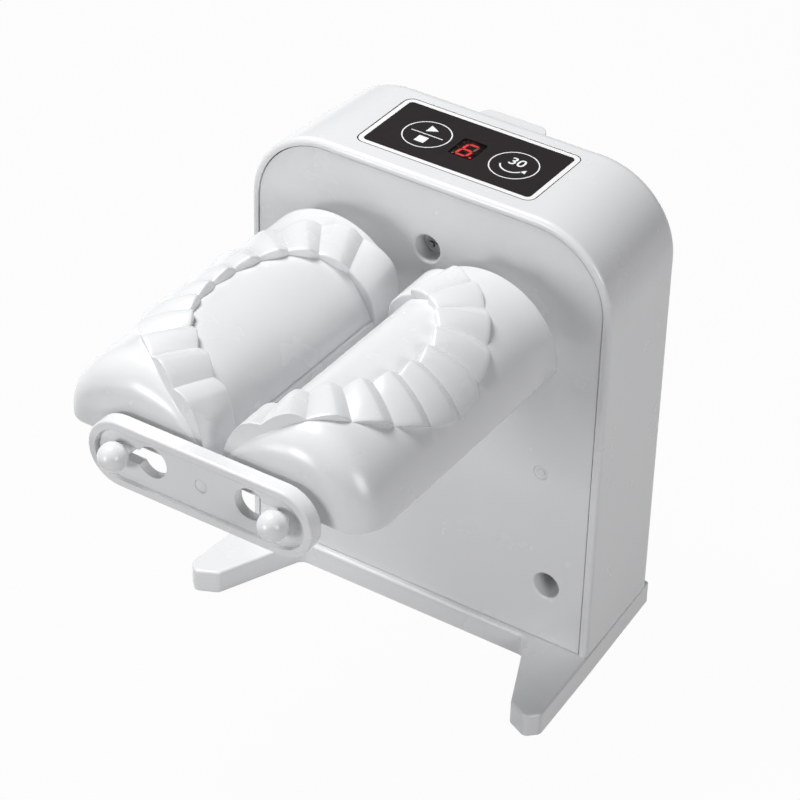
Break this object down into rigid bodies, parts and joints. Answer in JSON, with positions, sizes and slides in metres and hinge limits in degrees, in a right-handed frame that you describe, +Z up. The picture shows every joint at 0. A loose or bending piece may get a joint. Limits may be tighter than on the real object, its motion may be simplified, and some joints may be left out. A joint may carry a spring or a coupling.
{
  "type": "electric dumpling maker",
  "caption": "Table-top electric dumpling maker: an arched motor housing on a two-legged base turns two D-shaped mould rollers joined by a link plate.",
  "frame": {"origin": "underside of the base on the mirror plane, below the front rim of the housing", "axes": "+Z up, +Y towards the back (the rollers point to -Y), +X to the right seen from the front"},
  "size_m": [0.1486, 0.1947, 0.1803],
  "materials": {
    "white_abs": "gloss moulded",
    "grey_abs": "moulded",
    "acetal": "moulded acetal",
    "black_rubber": "matte",
    "zinc_steel": "zinc plated",
    "shaft_steel": "ground",
    "motor_steel": "drawn can",
    "cell_wrap": "shrink wrap",
    "board_green": "solder mask",
    "display_black": "moulded",
    "foam_black": "foam",
    "label_black": "printed film",
    "window_tint": "clear film",
    "socket_steel": "stamped"
  },
  "bodies": {
    "housing": {"base_frame": "white_abs", "rubber_feet": "black_rubber", "base_screws": "zinc_steel", "housing_shell": "white_abs", "front_panel": "white_abs", "panel_screws": "zinc_steel", "gear_frame": "grey_abs", "frame_screws": "zinc_steel", "front_bushes": "acetal", "rear_bushes": "acetal", "motor_gearbox": "grey_abs", "motor_can": "motor_steel", "motor_screws": "zinc_steel", "battery_cell": "cell_wrap", "battery_cradle": "grey_abs", "cradle_screws": "zinc_steel", "control_board": "board_green", "digit_display": "display_black", "touch_pads": "foam_black", "control_label": "label_black", "display_window": "window_tint", "charge_board": "board_green", "charge_socket": "socket_steel", "board_screws": "zinc_steel", "link_plate": "white_abs"},
    "left_roller": {"left_roller_body": "white_abs", "left_roller_cover": "white_abs", "left_end_pin": "white_abs", "left_drive_shaft": "shaft_steel", "left_gear": "acetal", "left_shaft_clip": "zinc_steel"},
    "right_roller": {"right_roller_body": "white_abs", "right_roller_cover": "white_abs", "right_end_pin": "white_abs", "right_drive_shaft": "shaft_steel", "right_gear": "acetal", "right_shaft_clip": "zinc_steel"},
    "pinion": {"motor_pinion": "acetal", "motor_shaft": "shaft_steel"}
  },
  "joints": [
    {"name": "left_roller_spin", "type": "hinge", "parent": "housing", "child": "left_roller", "pos_m": [-0.03075, 0, 0.1335], "axis": [0, 1, 0], "continuous": true},
    {"name": "right_roller_spin", "type": "hinge", "parent": "housing", "child": "right_roller", "pos_m": [0.03075, 0, 0.1335], "axis": [0, 1, 0], "continuous": true},
    {"name": "pinion_spin", "type": "hinge", "parent": "housing", "child": "pinion", "pos_m": [-0.024, 0, 0.09357], "axis": [0, 1, 0], "continuous": true}
  ],
  "couplings": [
    {"joint": "right_roller_spin", "follows": "left_roller_spin", "ratio": -1},
    {"joint": "pinion_spin", "follows": "left_roller_spin", "ratio": -3.1538}
  ]
}
